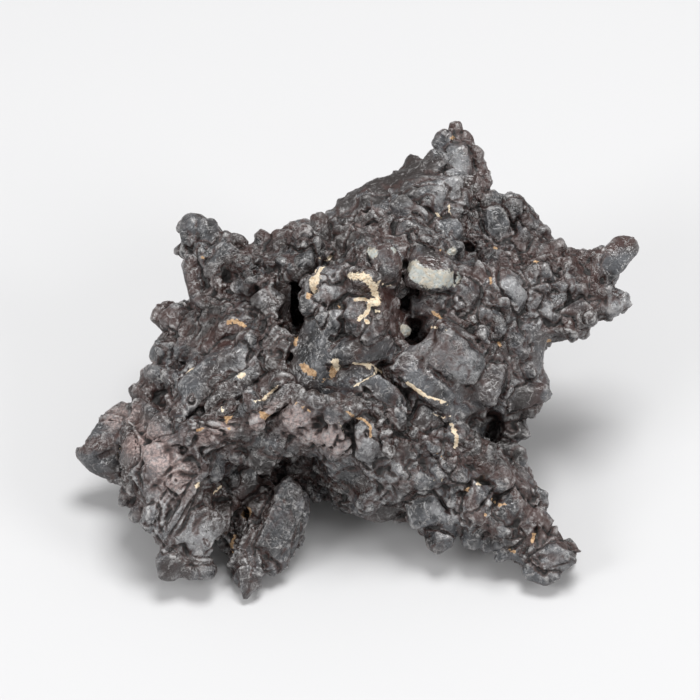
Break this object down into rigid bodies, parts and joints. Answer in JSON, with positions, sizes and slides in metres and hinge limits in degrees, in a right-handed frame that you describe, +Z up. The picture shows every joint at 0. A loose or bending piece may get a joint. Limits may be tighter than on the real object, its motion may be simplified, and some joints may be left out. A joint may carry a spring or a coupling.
{
  "type": "prophecy stone",
  "caption": "Dark crystalline iron-ore stone with stubby knobbly arms, deep pits and a rounded boulder in its middle; stands on its arm tips and lumpy base.",
  "frame": {"origin": "on the ground below the middle of the stone's bounding box", "axes": "+X to the right along the stone's longest extent as its best side faces the viewer, +Y towards the back, +Z up"},
  "size_m": [0.1014, 0.0774, 0.0499],
  "materials": {
    "stone": "satin dark iron ore"
  },
  "bodies": {
    "root": {"stone": "stone"}
  },
  "joints": []
}
